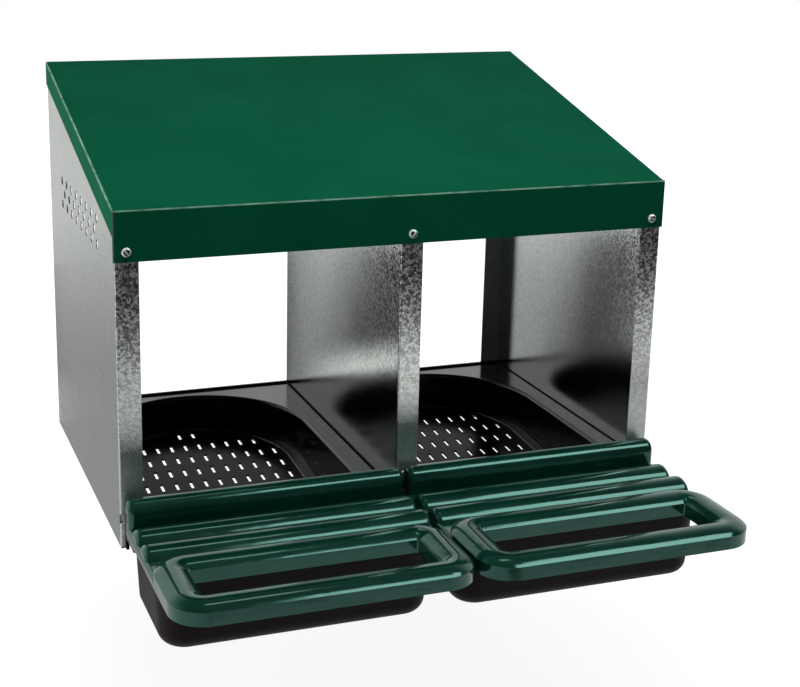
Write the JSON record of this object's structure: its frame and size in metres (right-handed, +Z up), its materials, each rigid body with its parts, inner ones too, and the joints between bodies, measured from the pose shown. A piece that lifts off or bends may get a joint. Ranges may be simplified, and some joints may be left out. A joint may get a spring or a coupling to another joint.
{
  "type": "roll-out nest box",
  "caption": "Wall-hung sheet-metal nest box with moulded bowls on a sloping floor; eggs roll into front trays under ribbed covers that hinge up.",
  "frame": {"origin": "midway between the four wall holes, on the plane of the wall", "axes": "+X to the right seen from the front, +Y into the wall, +Z up"},
  "size_m": [0.6004, 0.6105, 0.4992],
  "materials": {
    "galvanised": "spangled zinc coating",
    "roof_paint": "satin green paint",
    "cover_plastic": "glossy moulded green",
    "nest_plastic": "glossy moulded black",
    "egg_tray_plastic": "dull moulded brown-black",
    "zinc_fasteners": "bright zinc plate"
  },
  "bodies": {
    "box": {"left_side_panel": "galvanised", "right_side_panel": "galvanised", "centre_partition": "galvanised", "roof_panel": "roof_paint", "front_rail": "galvanised", "rear_rail": "galvanised", "left_tray_ledge": "galvanised", "right_tray_ledge": "galvanised", "partition_tray_ledges": "galvanised", "nest_tray_left": "nest_plastic", "nest_tray_right": "nest_plastic", "nest_floor_left": "nest_plastic", "nest_floor_right": "nest_plastic", "egg_tray_left": "egg_tray_plastic", "egg_tray_right": "egg_tray_plastic", "hinge_rod_left": "zinc_fasteners", "hinge_rod_right": "zinc_fasteners", "rod_clips": "zinc_fasteners", "fascia_screws": "zinc_fasteners", "fascia_nuts": "zinc_fasteners", "front_rail_rivets": "zinc_fasteners", "rear_rail_rivets": "zinc_fasteners"},
    "left_cover": {"cover_left": "cover_plastic"},
    "right_cover": {"cover_right": "cover_plastic"}
  },
  "joints": [
    {"name": "left_cover_hinge", "type": "hinge", "parent": "box", "child": "left_cover", "pos_m": [-0.149, -0.399, -0.256], "axis": [-1, 0, 0], "range_deg": [0, 92]},
    {"name": "right_cover_hinge", "type": "hinge", "parent": "box", "child": "right_cover", "pos_m": [0.149, -0.399, -0.256], "axis": [-1, 0, 0], "range_deg": [0, 92]}
  ]
}
